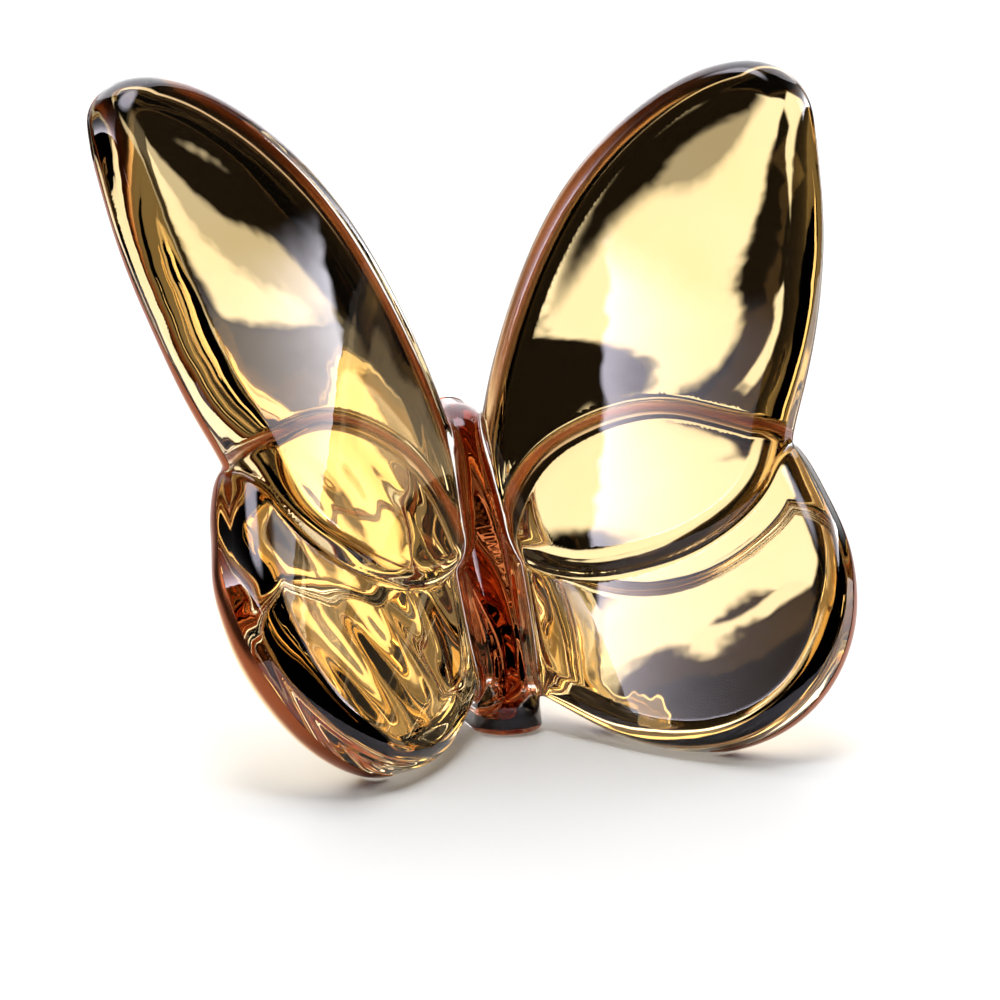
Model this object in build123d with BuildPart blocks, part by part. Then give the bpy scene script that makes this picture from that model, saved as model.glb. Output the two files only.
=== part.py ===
from build123d import *
from math import radians, tan
import os

os.makedirs("parts", exist_ok=True)

# Butterfly ornament: one crystal casting with a gold film fired on its back, in millimetres.
# It stands on the flat tail foot behind and on a ground spot of each hindwing in front.
# The front is -Y, up is +Z, and X = 0 is the middle of the body.

# Stance: angles in degrees
lean_angle = 29.8          # body and wings lean back from upright
sweep_angle = 40.9         # each wing comes forward from the body at its root

# Bend of each wing's middle surface, at the wing's outer edge and its top and bottom
root_set_back = 2.3        # it passes this far behind the body's axis
bend_out = 5.3             # it curls back towards the outer edge
bend_up = 1.8              # it comes forward towards its top and bottom
twist = 7.1                # the tip turns back, the lower lobe turns forward
bend_middle = 30.0         # distance up the wing about which it bends and twists

# Wings, measured along their own surface
wing_reach = 36.8          # from the root line to the outer edge
wing_height = 68.0         # from the bottom of the lower lobe to the tip
wing_drop = 8.5            # how far the lower lobe hangs below the root line
wing_thickness = 6.2
overlap_step = 0.9         # the forewing stands forward, the hindwing back, by this
rim_radius = 2.55          # rounded edge, front and back
outline_stock = 30.0       # the outline is cut this far each way
surface_margin = 9.0       # the bent surface runs past the outline by this
surface_rows = 7
surface_tolerance = 0.003
ground_spot_depth = 0.3    # polished off each hindwing where it stands

# Body sections, from the floor up: height, half width, how far the front stands before the
# leaning axis, and depth from front to back, which carries the lean on the heel
foot_half_width = 3.55
foot_front_reach = 4.8
foot_depth = 16.6
waist_height = 3.4
waist_half_width = 2.85
waist_front_reach = 7.0
waist_depth = 16.8
belly_height = 9.5
belly_half_width = 2.95
belly_front_reach = 7.5
belly_depth = 15.0
thorax_height = 15.5
thorax_half_width = 2.8
thorax_front_reach = 6.8
thorax_depth = 13.1
neck_height = 22.8
neck_half_width = 2.55
neck_front_reach = 4.8
neck_depth = 10.4
crown_height = 27.8
crown_half_width = 2.1
crown_front_reach = 3.2
crown_depth = 7.2
foot_edge_radius = 0.7
crown_edge_radius = 1.7

# Gold film on the back, drawn thicker than a fired film so that it is a solid
film = 0.3
film_floor_gap = 0.6       # it stops this far above the floor

# Wing outlines, up the inner edge, over the tip or the upper lobe and round the outer edge:
# shares of the reach outwards and of the height upwards
forewing_shares = [
    (0.03, 0.44), (0.048, 0.51), (0.09, 0.586), (0.155, 0.668), (0.242, 0.757),
    (0.348, 0.84), (0.481, 0.912), (0.636, 0.969), (0.81, 1.0), (0.913, 0.991),
    (0.981, 0.949), (0.997, 0.866), (0.992, 0.765), (0.973, 0.663), (0.935, 0.565),
    (0.88, 0.468), (0.853, 0.419), (0.826, 0.363), (0.761, 0.319), (0.66, 0.288),
    (0.56, 0.274), (0.454, 0.271), (0.326, 0.279), (0.213, 0.302), (0.105, 0.342),
    (0.045, 0.389),
]
hindwing_shares = [
    (0.022, 0.29), (0.03, 0.35), (0.055, 0.41), (0.104, 0.46), (0.182, 0.5),
    (0.299, 0.523), (0.416, 0.529), (0.538, 0.519), (0.668, 0.485), (0.766, 0.453),
    (0.84, 0.419), (0.88, 0.378), (0.913, 0.328), (0.946, 0.266), (0.957, 0.201),
    (0.946, 0.137), (0.902, 0.076), (0.821, 0.028), (0.712, 0.003), (0.592, 0.001),
    (0.476, 0.016), (0.364, 0.044), (0.26, 0.082), (0.155, 0.128), (0.075, 0.17),
    (0.033, 0.225),
]


def wing_plane(lift):
    """Plane of the right wing: x along the wing, y up it, z out of its front face."""
    upright = Plane((0, 0, 0), x_dir=(1, 0, 0), z_dir=(0, -1, 0))
    lean = Location((0, 0, lift), (-lean_angle, 0, 0))
    sweep = Location((0, 0, 0), (0, 0, -sweep_angle))
    return Plane(lean * sweep * upright.location)


def middle_depth(out, up):
    """How far the wing's middle surface lies in front of the wing's plane."""
    out_share = out / wing_reach
    up_share = 2 * (up - bend_middle) / wing_height
    curl = bend_up * up_share**2 - bend_out * out_share**2
    return curl - twist * out_share * up_share - root_set_back


def bent_face(plane, depth):
    """The wing's middle surface, moved forward by a depth."""
    inner = -surface_margin
    bottom = -wing_drop - surface_margin
    outs = [
        inner + (wing_reach + surface_margin - inner) * column / (surface_rows - 1)
        for column in range(surface_rows)
    ]
    ups = [
        bottom + (wing_height + 2 * surface_margin) * row / (surface_rows - 1)
        for row in range(surface_rows)
    ]
    rows = [
        [plane.from_local_coords((out, up, middle_depth(out, up) + depth)) for out in outs]
        for up in ups
    ]
    return Face.make_surface_from_array_of_points(rows, tol=surface_tolerance)


def outline_points(shares, grown):
    """Points of a wing's outline, each moved outwards square to the line through its neighbours."""
    flat = [Vector(out * wing_reach, up * wing_height - wing_drop) for out, up in shares]
    before = flat[-1:] + flat[:-1]
    after = flat[1:] + flat[:1]
    return [
        point + (right - left).normalized().rotate(Axis.Z, 90) * grown
        for left, point, right in zip(before, flat, after)
    ]


def bent_blank(plane, shares, back, thickness, grown):
    """A bent slab of the outline, with square edges."""
    with BuildPart() as blank:
        with BuildSketch(plane):
            with BuildLine():
                Spline(*outline_points(shares, grown), periodic=True)
            make_face()
        extrude(amount=outline_stock, both=True)
        extrude(bent_face(plane, back), amount=thickness, dir=plane.z_dir, mode=Mode.INTERSECT)
    return blank.part


def glass_slab(plane, shares, step):
    """The crystal of one wing, with its front and back rims rounded."""
    with BuildPart() as slab:
        add(bent_blank(plane, shares, step - wing_thickness / 2, wing_thickness, 0))
        fillet(slab.edges().sort_by(SortBy.LENGTH)[-2:], radius=rim_radius)
    return slab.part


def film_plate(plane, shares, step):
    """The gold on the back of one wing, inside its rounded rim."""
    return bent_blank(plane, shares, step - wing_thickness / 2 - film, film, -rim_radius)


def body_section(height, half_width, front_reach, depth, grown=0):
    """Stadium across the body at one height, leaning back with the body."""
    front = height * tan(radians(lean_angle)) - front_reach
    with BuildSketch(Plane((0, front + depth / 2, height))) as section:
        SlotOverall(depth + 2 * grown, 2 * half_width + 2 * grown, rotation=90)
    return section.sketch


def waist_section(grown):
    """Where the foot and the body meet."""
    return body_section(waist_height, waist_half_width, waist_front_reach, waist_depth, grown)


def body_column(grown=0):
    """The whole body from the waist to the crown, as one smooth form."""
    with BuildPart() as column:
        sections = [
            waist_section(grown),
            body_section(belly_height, belly_half_width, belly_front_reach, belly_depth, grown),
            body_section(
                thorax_height, thorax_half_width, thorax_front_reach, thorax_depth, grown
            ),
            body_section(neck_height, neck_half_width, neck_front_reach, neck_depth, grown),
            body_section(crown_height, crown_half_width, crown_front_reach, crown_depth, grown),
        ]
        loft(sections=sections)
    return column.part


def foot_block(grown=0):
    """The flared tail foot, from the floor to the waist."""
    with BuildPart() as block:
        sections = [
            body_section(0, foot_half_width, foot_front_reach, foot_depth, grown),
            waist_section(grown),
        ]
        loft(sections=sections)
    return block.part


# The wings are set at the height at which the hindwing's lowest point is the ground spot
probe = glass_slab(wing_plane(0), hindwing_shares, -overlap_step)
wing_lift = -ground_spot_depth - probe.bounding_box().min.Z
right_plane = wing_plane(wing_lift)
fore_glass = glass_slab(right_plane, forewing_shares, overlap_step)
hind_glass = glass_slab(right_plane, hindwing_shares, -overlap_step)
column = body_column()
foot = foot_block()

# Tail foot: its bottom edge is rounded, its bottom is flat
with BuildPart() as tail_foot:
    add(foot)
    fillet(tail_foot.faces().sort_by(Axis.Z)[0].edges(), radius=foot_edge_radius)
tail_foot.part.label = "tail_foot"
export_step(tail_foot.part, "parts/tail_foot.step")

# Abdomen, between the foot and the thorax
with BuildPart() as abdomen:
    add(column)
    split(bisect_by=Plane.XY.offset(thorax_height), keep=Keep.BOTTOM)
abdomen.part.label = "abdomen"
export_step(abdomen.part, "parts/abdomen.step")

# Thorax, where the forewings spring from the body
with BuildPart() as thorax:
    add(column)
    split(bisect_by=Plane.XY.offset(thorax_height), keep=Keep.TOP)
    split(bisect_by=Plane.XY.offset(neck_height), keep=Keep.BOTTOM)
thorax.part.label = "thorax"
export_step(thorax.part, "parts/thorax.step")

# Head, with its rounded crown
with BuildPart() as head:
    add(column)
    split(bisect_by=Plane.XY.offset(neck_height), keep=Keep.TOP)
    fillet(head.faces().sort_by(Axis.Z)[-1].edges(), radius=crown_edge_radius)
head.part.label = "head"
export_step(head.part, "parts/head.step")

# Forewing, springing from the side of the body
with BuildPart() as forewing:
    add(fore_glass)
    add([column, foot], mode=Mode.SUBTRACT)

# Hindwing: it passes behind the forewing, and a ground spot carries it
with BuildPart() as hindwing:
    add(hind_glass)
    split(bisect_by=Plane.XY, keep=Keep.TOP)
    add([column, foot, fore_glass], mode=Mode.SUBTRACT)

# Gold film on the back of the forewing, down to where the hindwing covers it
with BuildPart() as gold_forewing:
    add(film_plate(right_plane, forewing_shares, overlap_step))
    add([hind_glass, column, foot], mode=Mode.SUBTRACT)

# Gold film on the back of the hindwing
with BuildPart() as gold_hindwing:
    add(film_plate(right_plane, hindwing_shares, -overlap_step))
    split(bisect_by=Plane.XY.offset(film_floor_gap), keep=Keep.TOP)
    add([column, foot], mode=Mode.SUBTRACT)

# Gold film round the back of the body, behind the middle of its rounded rear
foot_rear = foot_depth - foot_front_reach - foot_half_width
crown_rear = crown_height * tan(radians(lean_angle)) + crown_depth - crown_front_reach
rear_run = crown_rear - crown_half_width - foot_rear
rear_plane = Plane((0, foot_rear, 0), x_dir=(1, 0, 0), z_dir=(0, crown_height, -rear_run))
with BuildPart() as gold_body:
    add(body_column(film))
    add(foot_block(film))
    split(bisect_by=rear_plane, keep=Keep.TOP)
    split(bisect_by=Plane.XY.offset(film_floor_gap), keep=Keep.TOP)
    split(bisect_by=Plane.XY.offset(crown_height - crown_edge_radius), keep=Keep.BOTTOM)
    add([column, foot], mode=Mode.SUBTRACT)
gold_body.part.label = "gold_body"
export_step(gold_body.part, "parts/gold_body.step")

right_pieces = {
    "forewing": forewing.part,
    "hindwing": hindwing.part,
    "gold_forewing": gold_forewing.part,
    "gold_hindwing": gold_hindwing.part,
}
for name, piece in right_pieces.items():
    piece.label = f"{name}_right"
    export_step(piece, f"parts/{name}_right.step")
    with BuildPart() as mirrored:
        mirror(piece, about=Plane.YZ)
    mirrored.part.label = f"{name}_left"
    export_step(mirrored.part, f"parts/{name}_left.step")
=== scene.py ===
"""Butterfly ornament: one clear crystal casting with a gold lustre on its back, on a white studio floor.

The casting is a smooth union of four bent wings and a leaning body. It is worked out in millimetres as
a distance field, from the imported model's sizes but for the rims' radius, and meshed once. The gold
pieces are thin closed shells laid on the back of that mesh. All meshes are handed to Blender in metres.
"""

import bpy
import numpy as np
from math import cos, pi, radians, sin, tan
from mathutils import Matrix, Vector


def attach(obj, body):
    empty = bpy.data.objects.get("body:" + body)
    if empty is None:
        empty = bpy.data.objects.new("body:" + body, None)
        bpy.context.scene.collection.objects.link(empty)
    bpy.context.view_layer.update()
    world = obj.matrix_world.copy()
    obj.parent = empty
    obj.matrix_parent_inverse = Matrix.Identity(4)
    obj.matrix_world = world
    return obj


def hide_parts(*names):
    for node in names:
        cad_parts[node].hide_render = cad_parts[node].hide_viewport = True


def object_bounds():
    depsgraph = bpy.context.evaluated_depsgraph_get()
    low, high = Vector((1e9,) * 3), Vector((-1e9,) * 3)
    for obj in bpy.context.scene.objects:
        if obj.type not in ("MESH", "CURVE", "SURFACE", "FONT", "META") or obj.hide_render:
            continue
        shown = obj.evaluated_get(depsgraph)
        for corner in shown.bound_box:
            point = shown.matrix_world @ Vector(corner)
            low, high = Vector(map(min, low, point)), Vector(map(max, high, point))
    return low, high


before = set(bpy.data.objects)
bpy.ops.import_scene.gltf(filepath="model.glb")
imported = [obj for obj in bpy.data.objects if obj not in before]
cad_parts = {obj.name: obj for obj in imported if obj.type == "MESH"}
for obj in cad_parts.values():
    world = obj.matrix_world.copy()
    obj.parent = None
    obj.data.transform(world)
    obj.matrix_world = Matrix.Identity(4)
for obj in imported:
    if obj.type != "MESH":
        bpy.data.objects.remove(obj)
cad_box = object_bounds()

MM = 0.001

# Sizes are in millimetres where nothing else is said.
# Stance and bend of the wings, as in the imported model
LEAN = radians(29.8)
SWEEP = radians(40.9)
WING_LIFT = 0.466
ROOT_SET_BACK = 2.3
BEND_OUT = 5.3
BEND_UP = 1.8
TWIST = 7.1
BEND_MIDDLE = 30.0
WING_REACH = 36.8
WING_HEIGHT = 68.0
WING_DROP = 8.5
WING_THICKNESS = 6.2
OVERLAP_STEP = 0.9
RIM_RADIUS = 2.4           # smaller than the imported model's 2.9

# Body sections from the floor up: height, half width, front reach, depth
BODY_SECTIONS = [
    (0.0, 3.55, 4.8, 16.6), (3.4, 2.85, 7.0, 16.8), (9.5, 2.95, 7.5, 15.0),
    (15.5, 2.8, 6.8, 13.1), (22.8, 2.55, 4.8, 10.4), (27.8, 2.1, 3.2, 7.2),
]
BODY_CURVE_DEGREE = 4
BODY_CURVE_POINTS = 600
FOOT_EDGE = 0.7            # radius of the edge round the foot
CROWN_EDGE = 1.7           # radius of the edge round the head
BODY_FLUTE, BODY_FLUTE_WIDTH = 0.25, 1.3   # depth and width of the flutes down the body's rear
VALLEY = 0.9               # width of the fillet where wings and body run into each other
OVERLAP_VALLEY = 0.5       # width of the fillet along the step between two wings

# Unevenness of the pressed faces: height and length of its waves, and the back's fall to the rim
FRONT_RIPPLE, FRONT_WAVE = 0.02, 14.0
BACK_RIPPLE, BACK_WAVE = 0.08, 14.0
LEFT_RIPPLE, LEFT_WAVE = 0.2, 9.0      # the left wings' backs are rougher, towards the foot
LEFT_RIPPLE_TOP, LEFT_RIPPLE_STRETCH = 32.0, 16.0
FOREWING_CUSHION, HINDWING_CUSHION = 0.8, 0.35     # how far the back falls at the rim
CUSHION_REACH, CUSHION_BLEND = 3.0, 1.6            # how far in the fall fades, and how softly it starts
RIPPLE_WAVES = 5
RIPPLE_SPREAD = (0.7, 1.5)                         # shortest and longest wave, as shares of the length
FOREWING_SEED, HINDWING_SEED = 3, 7

# Swell of the backs: how far, from what height on the wing, and over what stretch downwards
FOREWING_SWELL = (0.5, 36.0, 12.0)
HINDWING_SWELL = (1.0, 19.0, 17.0)

# Gold shells: how far the inner skin lies under the crystal's surface, and the outer skin over it
GOLD_UNDER = 0.05
GOLD_OVER = 0.06
GOLD_FROM = -0.3           # share of the half thickness behind the middle at which the gold starts
GOLD_FLOOR_GAP = 0.3       # height above the floor at which the gold ends
# The same share, where the gold starts to turn to the painted deep red and where it is fully that red: a
# painted reflection, for the red that light takes after many reflections in gold round the rims
RIM_PAINTED_RED_FORE, RIM_PAINTED_RED_HIND = (-0.74, -0.5), (-0.93, -0.72)

# Colours and surfaces. Lumps are counted per metre.
CRYSTAL_INDEX = 1.58
CRYSTAL_SHEEN = (0.75, 0.70, 0.82, 1.0)
CRYSTAL_LUMPS, CRYSTAL_BUMP = 160.0, 0.12
GOLD_SHADES = [(0.3, (0.94, 0.70, 0.34, 1)), (0.7, (0.97, 0.74, 0.41, 1))]
GOLD_SHADE_LUMPS = 60.0
GOLD_LUMPS, GOLD_BUMP = 220.0, 0.1
# Painted reflection: deep red put into the gold round the rims and on the body, for the red that light
# takes after many reflections in gold; darker still on the outer skin
PAINTED_REFLECTION_RED = (0.60, 0.17, 0.05, 1)
PAINTED_DARK_REFLECTION_RED = (0.30, 0.08, 0.03, 1)
POLISHED, DULLED = 0.02, 0.25          # roughness of the gold, and of its turn round the rims
FLOOR_SHADES = [(0.0, (0.88, 0.88, 0.88, 1)), (1.0, (0.9, 0.9, 0.9, 1))]
FLOOR_LUMPS = 40.0
NOISE_DETAIL = 2.0
BUMP_DEPTH = 0.0002                    # metres

# Studio. Directions are an azimuth from the front towards the right and an elevation, in degrees.
DARK_WALL = 0.003                      # radiance of the unlit walls
RIM_FILLS = [(2, 0.25), (4, 1.2)]      # after this many reflections, rays find at least this radiance
FLOOR_REACH, FLOOR_FRONT = 3.0, 0.11   # metres, with a short front that keeps the gold's bands dark
KEY_FROM = (164, 44)
KEY_STRENGTH = 2.2
KEY_WIDTH = 70                         # degrees

# Soft panels: radiance, azimuths and elevations, each as the start and end of a rise and of a fall
GOLD_PANELS = [
    # left wall: a soft and a bright upper panel, and two lower ones
    (0.5, ((-66, -61), (-24, -16)), ((40, 44), (58, 66))),
    (1.4, ((-66, -61), (-42, -30)), ((36, 38), (60, 66))),
    (1.4, ((-95, -90), (-63, -60)), ((27, 30), (40, 42))),
    (1.3, ((-94, -90), (-82, -79)), ((38, 40), (45, 47))),
    # right wall: two upper, a dim middle and two lower panels
    (0.75, ((80, 84), (96, 104)), ((26.5, 29), (50, 56))),
    (1.4, ((88, 93), (99, 106)), ((26.5, 29), (34, 42))),
    (0.12, ((76, 84), (100, 110)), ((12, 18), (26, 28))),
    (0.9, ((97, 103), (124, 134)), ((5, 9), (17, 20))),
    (0.6, ((112, 120), (140, 150)), ((4, 10), (40, 50))),
    # front right panel, which lights the left hindwing by way of the right one
    (2.2, ((10, 20), (56, 64)), ((31, 35), (66, 72))),
]
WALL_PANELS = [
    # back wall on both sides, and the panel overhead
    (1.0, ((128, 142), (190, 200)), ((-1, 1), (70, 80))),
    (1.0, ((-200, -190), (-152, -138)), ((-1, 1), (70, 80))),
    (8.0, ((-200, -190), (190, 200)), ((74, 82), (100, 110))),
]
# Sharp boxes: radiance, fade above the lower edge, the edge's start and end, then as for the panels
VEIL_BOXES = [
    (14.0, 4, (-61, 47), (-90, 35), ((-130, -118), (-63, -55)), ((20, 25), (66, 74))),
    (12.0, 4, (92, 29), (115, 17), ((88, 94), (124, 132)), ((5, 10), (60, 70))),
    (26.0, 3, (92, 29), (115, 17), ((107, 113), (124, 132)), ((5, 10), (60, 70))),
]
BOX_EDGE = 0.3                         # half the width of a sharp edge, in degrees

# Camera: direction from the ornament to it, its place, and its sensor and lens
CAMERA_BACK = (-0.2811, -0.9405, 0.1909)
CAMERA_PLACE = (-111.4, -372.46, 96.31 + WING_LIFT)
CAMERA_SENSOR, CAMERA_LENS = 36.0, 155.5

CELL = 0.32
NEAR = 2.0                 # the wings' outlines matter to points that are this near
SLOPE_STEP = 1e-4
LEAST_SLOPE = 0.1          # squared slope below which a point's move isn't lengthened further
SETTLING_ROUNDS = 2
EVENING = 0.6              # share of the way to the neighbours' middle

# The wings' outlines, as shares of their reach and height
FOREWING_SHARES = [
    (0.03, 0.44), (0.048, 0.51), (0.09, 0.586), (0.155, 0.668), (0.242, 0.757),
    (0.348, 0.84), (0.481, 0.912), (0.636, 0.969), (0.81, 1.0), (0.913, 0.991),
    (0.981, 0.949), (0.997, 0.866), (0.992, 0.765), (0.973, 0.663), (0.935, 0.565),
    (0.88, 0.468), (0.853, 0.419), (0.826, 0.363), (0.761, 0.319), (0.66, 0.288),
    (0.56, 0.274), (0.454, 0.271), (0.326, 0.279), (0.213, 0.302), (0.105, 0.342),
    (0.045, 0.389),
]
HINDWING_SHARES = [
    (0.022, 0.29), (0.03, 0.35), (0.055, 0.41), (0.104, 0.46), (0.182, 0.5),
    (0.299, 0.523), (0.416, 0.529), (0.538, 0.519), (0.668, 0.485), (0.766, 0.453),
    (0.84, 0.419), (0.88, 0.378), (0.913, 0.328), (0.946, 0.266), (0.957, 0.201),
    (0.946, 0.137), (0.902, 0.076), (0.821, 0.028), (0.712, 0.003), (0.592, 0.001),
    (0.476, 0.016), (0.364, 0.044), (0.26, 0.082), (0.155, 0.128), (0.075, 0.17),
    (0.033, 0.225),
]


# Forms of the casting

def wing_axes():
    """Rows: out along the right wing, up it, and out of its front face, in the frame."""
    sweep = np.array(Matrix.Rotation(-SWEEP, 3, "Z"))
    lean = np.array(Matrix.Rotation(-LEAN, 3, "X"))
    return (lean @ sweep @ np.array([[1, 0, 0], [0, 0, -1], [0, 1, 0]])).T


class Outline:
    """A wing's closed outline, with the distance of any point of the wing's plane to it."""

    SAMPLES = 2048       # points along the curve
    KNOT_POINTS = 200    # points between two knots, before they are spread evenly
    REACH = 8            # how far outside the curve the grid goes
    LOOKUP = 0.5         # step of the grid
    SOFTNESS = 1.2       # width over which the depth loses its creases
    SEARCH_ROUNDS = 4    # steps towards the nearest point of the curve
    SEARCH_LIMIT = 8     # longest of these steps, in samples

    def __init__(self, shares):
        knots = np.array(shares) * (WING_REACH, WING_HEIGHT) - (0, WING_DROP)
        dense = self.smooth(knots)
        run = np.append(0, np.cumsum(np.linalg.norm(np.roll(dense, -1, 0) - dense, axis=1)))
        closed = np.vstack([dense, dense[:1]])
        even = np.linspace(0, run[-1], self.SAMPLES, endpoint=False)
        self.step = run[-1] / self.SAMPLES
        self.points = np.stack([np.interp(even, run, closed[:, axis]) for axis in (0, 1)], 1)
        tangents = np.roll(self.points, -1, 0) - np.roll(self.points, 1, 0)
        self.tangents = tangents / np.linalg.norm(tangents, axis=1)[:, None]
        self.low = self.points.min(0) - self.REACH
        size = ((self.points.max(0) + self.REACH - self.low) / self.LOOKUP).astype(int) + 1
        across, up = np.meshgrid(*(np.arange(n) for n in size), indexing="ij")
        nodes = np.stack([across, up], -1).reshape(-1, 2) * self.LOOKUP + self.low
        near, soft = [], []
        for part in np.array_split(nodes, 1 + len(nodes) // 1000):
            gap = np.hypot(*(part[:, None, axis] - self.points[None, :, axis] for axis in (0, 1)))
            near.append(np.argmin(gap, 1))
            glow = np.exp(-gap / self.SOFTNESS).sum(1) * self.step / (2 * self.SOFTNESS)
            soft.append(-self.SOFTNESS * np.log(glow))
        self.nearest = np.concatenate(near).reshape(size)
        short = np.maximum(np.concatenate(soft).reshape(size), 0)
        self.softened = short + self.SOFTNESS / 2 * np.log(1 + pi / 2 * short / self.SOFTNESS)

    @staticmethod
    def smooth(knots):
        """Points along the closed cubic curve through the knots."""
        after = np.linalg.norm(np.roll(knots, -1, 0) - knots, axis=1)
        before = np.roll(after, 1)
        count = len(knots)
        rows = np.arange(count)
        matrix = np.zeros((count, count))
        matrix[rows, rows] = 2 * (before + after)
        matrix[rows, rows - 1] = after
        matrix[rows, (rows + 1) % count] = before
        rise = (np.roll(knots, -1, 0) - knots) / after[:, None]
        fall = np.roll(rise, 1, 0)
        slopes = np.linalg.solve(matrix, 3 * (after[:, None] * fall + before[:, None] * rise))
        t = np.linspace(0, 1, Outline.KNOT_POINTS, endpoint=False)[None, :, None]
        p0, p1 = knots[:, None], np.roll(knots, -1, 0)[:, None]
        m0 = slopes[:, None] * after[:, None, None]
        m1 = np.roll(slopes, -1, 0)[:, None] * after[:, None, None]
        curve = (
            (2 * t**3 - 3 * t**2 + 1) * p0 + (t**3 - 2 * t**2 + t) * m0
            + (3 * t**2 - 2 * t**3) * p1 + (t**3 - t**2) * m1
        )
        return curve.reshape(-1, 2)

    def at(self, place):
        """Point and tangent at a place along the curve, in samples."""
        whole = np.floor(place).astype(int)
        part = (place - whole)[:, None]
        first, second = whole % self.SAMPLES, (whole + 1) % self.SAMPLES
        points = self.points[first] * (1 - part) + self.points[second] * part
        tangents = self.tangents[first] * (1 - part) + self.tangents[second] * part
        return points, tangents

    def distance(self, uv):
        """Signed distance to the outline, less than nothing inside."""
        cell = np.round((uv - self.low) / self.LOOKUP).astype(int)
        cell = np.clip(cell, 0, np.array(self.nearest.shape) - 1)
        place = self.nearest[cell[:, 0], cell[:, 1]].astype(float)
        for _ in range(self.SEARCH_ROUNDS):
            points, tangents = self.at(place)
            move = ((uv - points) * tangents).sum(1) / self.step
            place += np.clip(move, -self.SEARCH_LIMIT, self.SEARCH_LIMIT)
        points, tangents = self.at(place)
        outward = np.stack([-tangents[:, 1], tangents[:, 0]], 1)
        return ((uv - points) * outward).sum(1)

    def depth(self, uv):
        """About how far inside the outline a point is, without the crease halfway between its sides."""
        place = (uv - self.low) / self.LOOKUP
        whole = np.floor(place).astype(int)
        t = place - whole
        weights = [(1 - t)**3, 3 * t**3 - 6 * t**2 + 4, -3 * t**3 + 3 * t**2 + 3 * t + 1, t**3]
        limit = np.array(self.softened.shape) - 1
        total = np.zeros(len(uv))
        for i in range(4):
            for j in range(4):
                column, row = np.clip(whole + (i - 1, j - 1), 0, limit).T
                total += weights[i][:, 0] * weights[j][:, 1] / 36 * self.softened[column, row]
        return total


def ripple(uv, seed, size, length):
    """Gentle unevenness of a pressed surface: a few waves in random directions."""
    rng = np.random.default_rng(seed)
    height = np.zeros(len(uv))
    for _ in range(RIPPLE_WAVES):
        angle, phase = rng.uniform(0, 2 * pi, 2)
        wave = 2 * pi / (length * rng.uniform(*RIPPLE_SPREAD))
        height += np.sin(wave * (uv @ (cos(angle), sin(angle))) + phase)
    return size * height / RIPPLE_WAVES


class Wing:
    """The solid of one right wing. Its field is the distance to it."""

    def __init__(self, shares, step, seed, swell, cushion):
        self.outline = Outline(shares)
        self.cushion = cushion
        self.step = step
        self.seed = seed
        self.swells = swell

    def middle(self, uv):
        """Middle depth in front of the wing's plane, and how far it slopes."""
        out = uv[:, 0] / WING_REACH
        up = 2 * (uv[:, 1] - BEND_MIDDLE) / WING_HEIGHT
        depth = BEND_UP * up**2 - BEND_OUT * out**2 - TWIST * out * up - ROOT_SET_BACK + self.step
        slope_out = (-2 * BEND_OUT * out - TWIST * up) / WING_REACH
        slope_up = 2 * (2 * BEND_UP * up - TWIST * out) / WING_HEIGHT
        return depth, 1 / np.sqrt(1 + slope_out**2 + slope_up**2)

    def local(self, points):
        """Out, up and front of points of the frame, on the wing."""
        return (points - (0, 0, WING_LIFT)) @ AXES.T

    def field(self, points, left):
        """Distance to the wing, rougher on the back where a point is on the left."""
        local = self.local(points)
        depth, square = self.middle(local[:, :2])
        front = local[:, 2] - depth
        field = np.abs(front) - WING_THICKNESS / 2
        near = field < NEAR
        field[near] = self.near_field(local[near, :2], front[near], square[near], left[near])
        return field

    def swell(self, up):
        """How far the back swells backwards, growing downwards over a stretch of the wing."""
        size, start, stretch = self.swells
        share = np.clip((start - up) / stretch, 0, 1)
        return size * share**2 * (3 - 2 * share)

    def near_field(self, uv, front, square, left):
        """Distance to the wing's faces and its rounded rim."""
        across = self.outline.distance(uv) + RIM_RADIUS
        inside = RIM_RADIUS - self.outline.depth(uv)
        inward = (inside - np.hypot(inside, CUSHION_BLEND)) / 2
        cushion = self.cushion * np.exp(inward / CUSHION_REACH)
        rough = left * np.clip((LEFT_RIPPLE_TOP - uv[:, 1]) / LEFT_RIPPLE_STRETCH, 0, 1)
        back = ripple(uv, self.seed + 1, BACK_RIPPLE, BACK_WAVE) + self.swell(uv[:, 1]) - cushion
        back += rough * ripple(uv, self.seed + 2, LEFT_RIPPLE, LEFT_WAVE)
        uneven = np.where(front > 0, ripple(uv, self.seed, FRONT_RIPPLE, FRONT_WAVE), back)
        through = (np.abs(front) - WING_THICKNESS / 2 - uneven) * square + RIM_RADIUS
        outside = np.hypot(np.maximum(across, 0), np.maximum(through, 0))
        return outside + np.minimum(np.maximum(across, through), 0) - RIM_RADIUS

    def behind(self, points):
        """Share of the half thickness in front of the middle: -1 on the back, 1 on the front."""
        local = self.local(points)
        return (local[:, 2] - self.middle(local[:, :2])[0]) / (WING_THICKNESS / 2)


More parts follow.
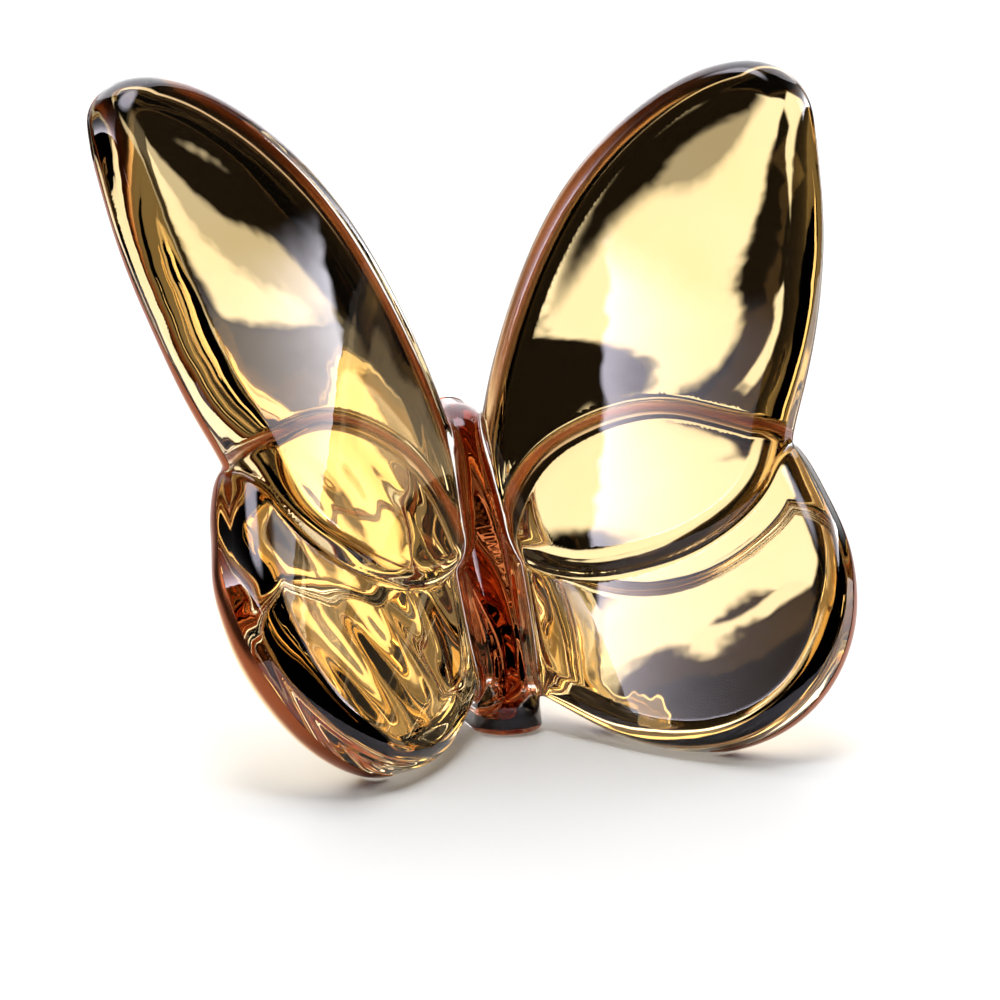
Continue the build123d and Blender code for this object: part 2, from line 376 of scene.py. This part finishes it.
class Body:
    """The leaning body on its flared foot. Its field is the distance to it."""

    def __init__(self):
        rows = np.array(BODY_SECTIONS)
        heights = rows[:, 0]
        wide = rows[:, 1]
        front = heights * tan(LEAN) - rows[:, 2]
        rear = front + rows[:, 3]
        self.heights = np.linspace(-1, heights[-1] + 1, BODY_CURVE_POINTS)
        self.profile = [self.curve(heights, side) for side in (wide, front, rear)]
        self.top = heights[-1]

    def curve(self, heights, sides):
        """Smooth curve through the sections' sides."""
        fit = np.polynomial.Polynomial.fit(heights, sides, BODY_CURVE_DEGREE)
        return fit(self.heights)

    def field(self, points):
        """Distance to the body."""
        wide, front, rear = (
            np.interp(points[:, 2], self.heights, side) for side in self.profile
        )
        rear = rear - BODY_FLUTE * (1 + np.sin(2 * pi * points[:, 0] / BODY_FLUTE_WIDTH)) / 2
        middle, half = (front + rear) / 2, (rear - front) / 2 - wide
        flank = np.hypot(points[:, 0], np.maximum(np.abs(points[:, 1] - middle) - half, 0)) - wide
        flank *= cos(LEAN)
        crown = rounded(flank, points[:, 2] - self.top, CROWN_EDGE)
        return rounded(crown, -points[:, 2], FOOT_EDGE)

    def behind(self, points):
        """Less than nothing behind the middle of the body's rounded rear."""
        wide, _, rear = (np.interp(points[:, 2], self.heights, side) for side in self.profile)
        return (rear - wide - points[:, 1]) / wide


def rounded(one, other, radius):
    """Where two fields overlap, with their meeting edge rounded."""
    one, other = one + radius, other + radius
    outside = np.hypot(np.maximum(one, 0), np.maximum(other, 0))
    return outside + np.minimum(np.maximum(one, other), 0) - radius


def blended(one, other, width):
    """Both fields together with a fillet between them, and the second one's share."""
    share = np.clip(0.5 + 0.5 * (one - other) / width, 0, 1)
    return one * (1 - share) + other * share - width * share * (1 - share), share


AXES = wing_axes()
FOREWING = Wing(FOREWING_SHARES, OVERLAP_STEP, FOREWING_SEED, FOREWING_SWELL, FOREWING_CUSHION)
HINDWING = Wing(HINDWING_SHARES, -OVERLAP_STEP, HINDWING_SEED, HINDWING_SWELL, HINDWING_CUSHION)
BODY = Body()


def halved(points):
    """Points moved to the right half, which the left half mirrors."""
    return np.abs(points * (1, 0, 0)) + points * (0, 1, 1)


def casting(points):
    """Field of the whole casting."""
    left = points[:, 0] < 0
    points = halved(points)
    wings, _ = blended(FOREWING.field(points, left), HINDWING.field(points, left), OVERLAP_VALLEY)
    return blended(wings, BODY.field(points), VALLEY)[0]


# Meshing

def net(field, low, high, cell):
    """Vertices and quads of the field's surface, one vertex in each cell that it crosses."""
    sides = [np.arange(a, b + cell, cell) for a, b in zip(low, high)]
    shape = [len(side) for side in sides]
    value = np.empty(shape, np.float32)
    for row, x in enumerate(sides[0]):
        y, z = np.meshgrid(sides[1], sides[2], indexing="ij")
        points = np.stack([np.full(y.shape, x), y, z], -1).reshape(-1, 3)
        value[row] = field(points).reshape(y.shape)
    inside = value < 0
    total = np.zeros([n - 1 for n in shape] + [3])
    crossings = np.zeros([n - 1 for n in shape])
    corners = [(0, 0), (0, 1), (1, 0), (1, 1)]
    edges = []
    for axis in range(3):
        near = [slice(None)] * 3
        far = [slice(None)] * 3
        near[axis], far[axis] = slice(0, -1), slice(1, None)
        a, b = value[tuple(near)], value[tuple(far)]
        crossed = inside[tuple(near)] != inside[tuple(far)]
        along = np.where(crossed, a / np.where(crossed, a - b, 1), 0)
        others = [other for other in range(3) if other != axis]
        for corner in corners:
            part = [slice(None)] * 3
            for other, at in zip(others, corner):
                part[other] = slice(at, shape[other] - 1 + at)
            hit = crossed[tuple(part)]
            crossings += hit
            total[..., axis] += along[tuple(part)] * hit
            for other, at in zip(others, corner):
                total[..., other] += at * hit
        edges.append((axis, others, crossed, inside[tuple(near)]))
    filled = crossings > 0
    index = np.full(filled.shape, -1)
    index[filled] = np.arange(filled.sum())
    vertices = (np.argwhere(filled) + total[filled] / crossings[filled][:, None]) * cell + low
    quads = []
    for axis, others, crossed, starts_inside in edges:
        part = [slice(None)] * 3
        for other in others:
            part[other] = slice(1, -1)
        places = np.argwhere(crossed[tuple(part)])
        for other in others:
            places[:, other] += 1
        ring = []
        for back in [(1, 1), (0, 1), (0, 0), (1, 0)]:
            cells = places.copy()
            for other, step in zip(others, back):
                cells[:, other] -= step
            ring.append(index[tuple(cells.T)])
        ring = np.stack(ring, 1)
        turned = starts_inside[tuple(places.T)] == (axis == 1)
        ring[turned] = ring[turned][:, ::-1]
        quads.append(ring)
    return vertices, np.concatenate(quads)


def gradient(field, points):
    """The field and its slope at points."""
    here = field(points)
    steps = [field(points + SLOPE_STEP * axis) - here for axis in np.eye(3)]
    return here, np.stack([step / SLOPE_STEP for step in steps], 1)


def settled(field, points):
    """Points moved onto the field's surface, and the surface's normals there."""
    for _ in range(SETTLING_ROUNDS):
        height, slope = gradient(field, points)
        size = (slope**2).sum(1)
        normals = slope / np.sqrt(size)[:, None]
        move = np.clip(height / np.maximum(size, LEAST_SLOPE), -CELL, CELL)
        points = points - move[:, None] * slope
    return points, normals


def evened(points, faces, normals):
    """Points moved along the surface towards the middle of their neighbours."""
    total = np.zeros_like(points)
    count = np.zeros(len(points))
    for shift in (1, -1):
        np.add.at(total, faces, points[np.roll(faces, shift, 1)])
        np.add.at(count, faces, 1)
    move = total / count[:, None] - points
    return points + EVENING * (move - (move * normals).sum(1)[:, None] * normals)


def clipped(vertices, normals, triangles, scalar):
    """The part of a triangle mesh where the scalar is below nothing, cut cleanly at nothing."""
    below = scalar < 0
    count = below[triangles].sum(1)
    kept = [triangles[count == 3]]
    pairs = {}
    made = []

    def cut(a, b):
        key = (min(a, b), max(a, b))
        if key not in pairs:
            pairs[key] = len(vertices) + len(made)
            made.append(key)
        return pairs[key]

    for corners in triangles[(count == 1) | (count == 2)].tolist():
        inside = [below[c] for c in corners]
        start = inside.index(True) if sum(inside) == 1 else (inside.index(False) + 1) % 3
        a, b, c = corners[start:] + corners[:start]
        if sum(inside) == 1:
            kept.append([[a, cut(a, b), cut(a, c)]])
        else:
            ac, bc = cut(a, c), cut(b, c)
            kept.append([[a, b, bc], [a, bc, ac]])
    if made:
        a, b = np.array(made).T
        share = (scalar[a] / (scalar[a] - scalar[b]))[:, None]
        vertices = np.vstack([vertices, vertices[a] * (1 - share) + vertices[b] * share])
        mixed = normals[a] * (1 - share) + normals[b] * share
        normals = np.vstack([normals, mixed / np.linalg.norm(mixed, axis=1)[:, None]])
    triangles = np.concatenate([np.array(k, int).reshape(-1, 3) for k in kept])
    used, places = np.unique(triangles, return_inverse=True)
    return vertices[used], normals[used], places.reshape(-1, 3)


def largest(triangles, count):
    """The triangles of the largest connected part."""
    label = np.arange(count)
    while True:
        low = np.repeat(label[triangles].min(1), 3)
        lower = label.copy()
        np.minimum.at(lower, triangles.ravel(), low)
        lower = lower[lower]
        if (lower == label).all():
            break
        label = lower
    part = label[triangles[:, 0]]
    names, sizes = np.unique(part, return_counts=True)
    return triangles[part == names[np.argmax(sizes)]]


def shell(vertices, normals, triangles):
    """A closed thin shell round an open surface, with the normals of its two skins and its wall."""
    count = len(vertices)
    points = np.vstack([vertices + GOLD_OVER * normals, vertices - GOLD_UNDER * normals])
    edges = np.concatenate([triangles[:, [0, 1]], triangles[:, [1, 2]], triangles[:, [2, 0]]])
    forward = {tuple(edge) for edge in edges.tolist()}
    rim = np.array([edge for edge in forward if (edge[1], edge[0]) not in forward])
    walls = np.stack([rim[:, 1], rim[:, 0], rim[:, 0] + count, rim[:, 1] + count], 1)
    faces = [triangles, triangles[:, ::-1] + count, walls]
    return points, faces, np.vstack([normals, -normals])


def mesh_piece(name, points, faces, normals, material):
    """A smooth-shaded object from points in millimetres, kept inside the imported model's box."""
    low, high = (np.array(corner) for corner in cad_box)
    points = np.clip(points * MM, low, high)
    mesh = bpy.data.meshes.new(name)
    mesh.from_pydata(points.tolist(), [], [face for part in faces for face in part.tolist()])
    mesh.validate()
    mesh.polygons.foreach_set("use_smooth", np.ones(len(mesh.polygons), bool))
    mesh.normals_split_custom_set_from_vertices(normals.tolist())
    mesh.materials.append(material)
    piece = bpy.data.objects.new(name, mesh)
    bpy.context.collection.objects.link(piece)
    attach(piece, "root")
    return piece


# Materials

def new_material(name):
    """A material with its node tree and its shader."""
    material = bpy.data.materials.new(name)
    material.use_nodes = True
    tree = material.node_tree
    return material, tree, tree.nodes["Principled BSDF"]


def noise(tree, scale):
    """Solid noise that stays on the piece, with the number of lumps per metre."""
    place = tree.nodes.new("ShaderNodeTexCoord")
    texture = tree.nodes.new("ShaderNodeTexNoise")
    texture.inputs["Scale"].default_value = scale
    texture.inputs["Detail"].default_value = NOISE_DETAIL
    tree.links.new(place.outputs["Object"], texture.inputs["Vector"])
    return texture.outputs["Fac"]


def bump(tree, shader, height, strength):
    """Fine unevenness of a shader's surface."""
    node = tree.nodes.new("ShaderNodeBump")
    node.inputs["Strength"].default_value = strength
    node.inputs["Distance"].default_value = BUMP_DEPTH
    tree.links.new(height, node.inputs["Height"])
    tree.links.new(node.outputs["Normal"], shader.inputs["Normal"])


def shades(tree, stops, lumps):
    """A colour that wanders between two shades."""
    ramp = tree.nodes.new("ShaderNodeValToRGB")
    for element, (position, colour) in zip(ramp.color_ramp.elements, stops):
        element.position = position
        element.color = colour
    tree.links.new(noise(tree, lumps), ramp.inputs["Fac"])
    return ramp.outputs["Color"]


def carried(tree, name):
    """A value that the mesh carries at its points."""
    node = tree.nodes.new("ShaderNodeAttribute")
    node.attribute_name = name
    return node.outputs["Fac"]


def turning(tree, share, colour, other):
    """A colour that turns into another one with a share."""
    node = tree.nodes.new("ShaderNodeMix")
    node.data_type = "RGBA"
    tree.links.new(share, node.inputs["Factor"])
    tree.links.new(colour, node.inputs["A"])
    node.inputs["B"].default_value = other
    return node.outputs["Result"]


def crystal_material():
    """Clear glass with a faint violet sheen."""
    material, tree, shader = new_material("clear_crystal")
    shader.inputs["Base Color"].default_value = (1.0, 1.0, 1.0, 1.0)
    shader.inputs["Roughness"].default_value = 0.0
    shader.inputs["IOR"].default_value = CRYSTAL_INDEX
    shader.inputs["Transmission Weight"].default_value = 1.0
    shader.inputs["Specular Tint"].default_value = CRYSTAL_SHEEN
    bump(tree, shader, noise(tree, CRYSTAL_LUMPS), CRYSTAL_BUMP)
    return material


def gold_material():
    """Polished gold with a painted deep red round the rims and on the body, darker on the outer skin: a
    painted reflection, for the red that light takes after many reflections in gold.
    """
    material, tree, shader = new_material("gold_lustre")
    colour = shades(tree, GOLD_SHADES, GOLD_SHADE_LUMPS)
    # painted reflection: the gold turns to a painted deep red round the rims and on the body, darker on
    # the outer skin
    colour = turning(tree, carried(tree, "rim"), colour, PAINTED_REFLECTION_RED)
    colour = turning(tree, carried(tree, "outer"), colour, PAINTED_DARK_REFLECTION_RED)
    tree.links.new(colour, shader.inputs["Base Color"])
    shader.inputs["Metallic"].default_value = 1.0
    spread = tree.nodes.new("ShaderNodeMapRange")
    spread.inputs["To Min"].default_value = POLISHED
    spread.inputs["To Max"].default_value = DULLED
    tree.links.new(carried(tree, "dull"), spread.inputs["Value"])
    tree.links.new(spread.outputs["Result"], shader.inputs["Roughness"])
    bump(tree, shader, noise(tree, GOLD_LUMPS), GOLD_BUMP)
    return material


def floor_material():
    """Pale matt floor."""
    material, tree, shader = new_material("studio_floor")
    tree.links.new(shades(tree, FLOOR_SHADES, FLOOR_LUMPS), shader.inputs["Base Color"])
    shader.inputs["Roughness"].default_value = 0.5
    shader.inputs["Specular IOR Level"].default_value = 0.1
    return material


# The ornament

def build_crystal():
    """The clear casting. Gives the points, quads and normals of its surface."""
    low, high = (np.array(corner) / MM for corner in cad_box)
    vertices, quads = net(casting, low - 2 * CELL, high + 2 * CELL, CELL)
    vertices, normals = settled(casting, vertices)
    vertices = evened(vertices, quads, normals)
    vertices, normals = settled(casting, vertices)
    crystal = mesh_piece("crystal_casting", vertices, [quads], normals, crystal_material())
    crystal_nodes = [
        "tail_foot", "abdomen", "thorax", "head",
        "forewing_right", "forewing_left", "hindwing_right", "hindwing_left",
    ]
    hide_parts(*crystal_nodes)
    return vertices, quads, normals


def build_gold(vertices, quads, normals):
    """The gold shells: where the back is, and which form of the casting carries it."""
    half, left = halved(vertices), vertices[:, 0] < 0
    fore, hind, body = FOREWING.field(half, left), HINDWING.field(half, left), BODY.field(half)
    wings, hind_share = blended(fore, hind, OVERLAP_VALLEY)
    body_share = blended(wings, body, VALLEY)[1]
    wing_side = FOREWING.behind(half) * (1 - hind_share) + HINDWING.behind(half) * hind_share
    start, full = (np.outer(1 - hind_share, RIM_PAINTED_RED_FORE) + np.outer(hind_share, RIM_PAINTED_RED_HIND)).T
    turn = np.clip((wing_side - start) / (full - start), 0, 1)
    # share of the painted deep red, a painted reflection: towards the rims, and all over the body
    painted_red = np.maximum(turn, body_share)
    back = (wing_side - GOLD_FROM) * (1 - body_share) + BODY.behind(half) * body_share
    back = np.maximum(back, (GOLD_FLOOR_GAP - vertices[:, 2]) / WING_THICKNESS)
    triangles = np.concatenate([quads[:, [0, 1, 2]], quads[:, [0, 2, 3]]])
    gold = gold_material()
    regions = {
        "forewing_right": (fore - np.minimum(hind, body), 1),
        "forewing_left": (fore - np.minimum(hind, body), -1),
        "hindwing_right": (hind - np.minimum(fore, body), 1),
        "hindwing_left": (hind - np.minimum(fore, body), -1),
        "body": (body - np.minimum(fore, hind), 0),
    }
    marked = np.column_stack([vertices, painted_red, turn * (1 - body_share)])
    for name, (region, side) in regions.items():
        points, leans, faces = clipped(marked, normals, triangles, np.maximum(back, region))
        if side:
            faces = faces[(points[faces][:, :, 0] * side).min(1) > 0]
        faces = largest(faces, len(points))
        used, places = np.unique(faces, return_inverse=True)
        points, leans, faces = points[used], leans[used], places.reshape(-1, 3)
        spots, painted_reds, dulls = points[:, :3], points[:, 3], points[:, 4]
        piece = mesh_piece(f"lustre_{name}", *shell(spots, leans, faces), gold)
        # the painted deep red (a painted reflection) on both skins, darker on the outer one, and the
        # duller gold round the rims
        for mark, values in [
            ("rim", np.tile(painted_reds, 2)),
            ("outer", np.append(painted_reds, np.zeros(len(points)))),
            ("dull", np.tile(dulls, 2)),
        ]:
            layer = piece.data.attributes.new(mark, "FLOAT", "POINT")
            layer.data.foreach_set("value", values)
        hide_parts(f"gold_{name}")


# Studio

class Sky:
    """Builds the brightness of the studio's walls from the direction that a ray leaves in.

    Azimuth runs from the front, -Y, towards the right, +X, and elevation from the level upwards,
    both in degrees.
    """

    def __init__(self, tree):
        self.tree = tree
        place = tree.nodes.new("ShaderNodeTexCoord")
        split = tree.nodes.new("ShaderNodeSeparateXYZ")
        tree.links.new(place.outputs["Generated"], split.inputs["Vector"])
        self.direction = place.outputs["Generated"]
        front = self.math("MULTIPLY", split.outputs["Y"], -1.0)
        self.azimuth = self.degrees(self.math("ARCTAN2", split.outputs["X"], front))
        self.elevation = self.degrees(self.math("ARCSINE", split.outputs["Z"]))

    def math(self, operation, *values):
        """The result of an operation on numbers or on other nodes' outputs."""
        node = self.tree.nodes.new("ShaderNodeMath")
        node.operation = operation
        for socket, value in zip(node.inputs, values):
            if isinstance(value, (int, float)):
                socket.default_value = value
            else:
                self.tree.links.new(value, socket)
        return node.outputs["Value"]

    def degrees(self, value):
        return self.math("DEGREES", value)

    def step(self, value, start, end):
        """Smooth rise from 0 at the start to 1 at the end."""
        node = self.tree.nodes.new("ShaderNodeMapRange")
        node.interpolation_type = "SMOOTHSTEP"
        self.tree.links.new(value, node.inputs["Value"])
        node.inputs["From Min"].default_value = start
        node.inputs["From Max"].default_value = end
        return node.outputs["Result"]

    def window(self, value, rise, fall):
        """1 between a rise and a fall, both given as where they start and end."""
        up = self.step(value, *rise)
        down = self.math("SUBTRACT", 1.0, self.step(value, *fall))
        return self.math("MULTIPLY", up, down)

    def panel(self, radiance, azimuths, elevations):
        """A lit panel with soft edges."""
        shape = self.math(
            "MULTIPLY", self.window(self.azimuth, *azimuths), self.window(self.elevation, *elevations)
        )
        return self.math("MULTIPLY", shape, radiance)

    def sharp_box(self, radiance, fade, start, end, azimuths, elevations):
        """A light with a sharp lower edge from a start to an end direction, fading above it."""
        normal = facing(*start).cross(facing(*end)).normalized()
        if normal.z < 0:
            normal.negate()
        node = self.tree.nodes.new("ShaderNodeVectorMath")
        node.operation = "DOT_PRODUCT"
        self.tree.links.new(self.direction, node.inputs[0])
        node.inputs[1].default_value = normal
        above = self.degrees(self.math("ARCSINE", node.outputs["Value"]))
        fading = self.math("EXPONENT", self.math("MULTIPLY", above, -1.0 / fade))
        rise = self.step(above, -BOX_EDGE, BOX_EDGE)
        edge = self.math("MULTIPLY", rise, self.math("MINIMUM", fading, 1.0))
        return self.math("MULTIPLY", edge, self.panel(radiance, azimuths, elevations))

    def brightest(self, values):
        """The largest of some values."""
        total = values[0]
        for value in values[1:]:
            total = self.math("MAXIMUM", total, value)
        return total


def facing(azimuth, elevation):
    """Direction at an azimuth and elevation in degrees."""
    a, e = radians(azimuth), radians(elevation)
    return Vector((sin(a) * cos(e), -cos(a) * cos(e), sin(e)))


def build_world():
    """The studio's walls and panels, by direction and by the kind of ray that meets them."""
    world = bpy.data.worlds.new("studio")
    bpy.context.scene.world = world
    world.use_nodes = True
    tree = world.node_tree
    sky = Sky(tree)
    gold_lights = [sky.panel(*panel) for panel in GOLD_PANELS]
    veil_lights = [sky.sharp_box(*box) for box in VEIL_BOXES]
    walls = [sky.panel(*wall) for wall in WALL_PANELS]
    # The gold's panels light rays that come out of the crystal, and the veils' boxes the others.
    # Rays that have gone round a rim find the lit room, and the camera sees white.
    rays = tree.nodes.new("ShaderNodeLightPath")
    inside = sky.math("GREATER_THAN", rays.outputs["Transmission Depth"], 0.5)
    gold = sky.math("MULTIPLY", sky.brightest(gold_lights), inside)
    veil = sky.math("MULTIPLY", sky.brightest(veil_lights), sky.math("SUBTRACT", 1.0, inside))
    fills = []
    for turns, radiance in RIM_FILLS:
        turned = sky.math("GREATER_THAN", rays.outputs["Glossy Depth"], turns - 0.5)
        fills.append(sky.math("MULTIPLY", turned, radiance))
    brightness = sky.math("MAXIMUM", sky.brightest([gold, veil, *walls, *fills]), DARK_WALL)
    seen = sky.math("MAXIMUM", brightness, rays.outputs["Is Camera Ray"])
    tree.links.new(seen, tree.nodes["Background"].inputs["Strength"])
    tree.nodes["Background"].inputs["Color"].default_value = (1.0, 1.0, 1.0, 1.0)


def build_key():
    """The large light behind and above, which whitens the floor and casts the soft shadow forward."""
    data = bpy.data.lights.new("key", "SUN")
    data.energy = KEY_STRENGTH
    data.angle = radians(KEY_WIDTH)
    light = bpy.data.objects.new("key", data)
    light.rotation_mode = "QUATERNION"
    light.rotation_quaternion = (-facing(*KEY_FROM)).to_track_quat("-Z", "Y")
    bpy.context.collection.objects.link(light)


def build_floor():
    """The floor, which reaches far back and to the sides."""
    mesh = bpy.data.meshes.new("studio_floor")
    corners = [
        (-FLOOR_REACH, -FLOOR_FRONT, 0), (FLOOR_REACH, -FLOOR_FRONT, 0),
        (FLOOR_REACH, FLOOR_REACH, 0), (-FLOOR_REACH, FLOOR_REACH, 0),
    ]
    mesh.from_pydata(corners, [], [(0, 1, 2, 3)])
    mesh.materials.append(floor_material())
    floor = bpy.data.objects.new("studio_floor", mesh)
    bpy.context.collection.objects.link(floor)


def build_camera():
    """The photograph's view: 17 degrees to the left, 11 above the level, 0.4 m away."""
    back = Vector(CAMERA_BACK).normalized()
    right = Vector((0, 0, 1)).cross(back).normalized()
    up = back.cross(right)
    data = bpy.data.cameras.new("camera")
    data.sensor_width = CAMERA_SENSOR
    data.lens = CAMERA_LENS
    camera = bpy.data.objects.new("camera", data)
    place = Matrix.Translation(Vector(CAMERA_PLACE) * MM)
    camera.matrix_world = place @ Matrix((right, up, back)).transposed().to_4x4()
    bpy.context.collection.objects.link(camera)
    bpy.context.scene.camera = camera


build_gold(*build_crystal())
build_world()
build_floor()
build_camera()
build_key()
bpy.context.scene.view_settings.view_transform = "Standard"
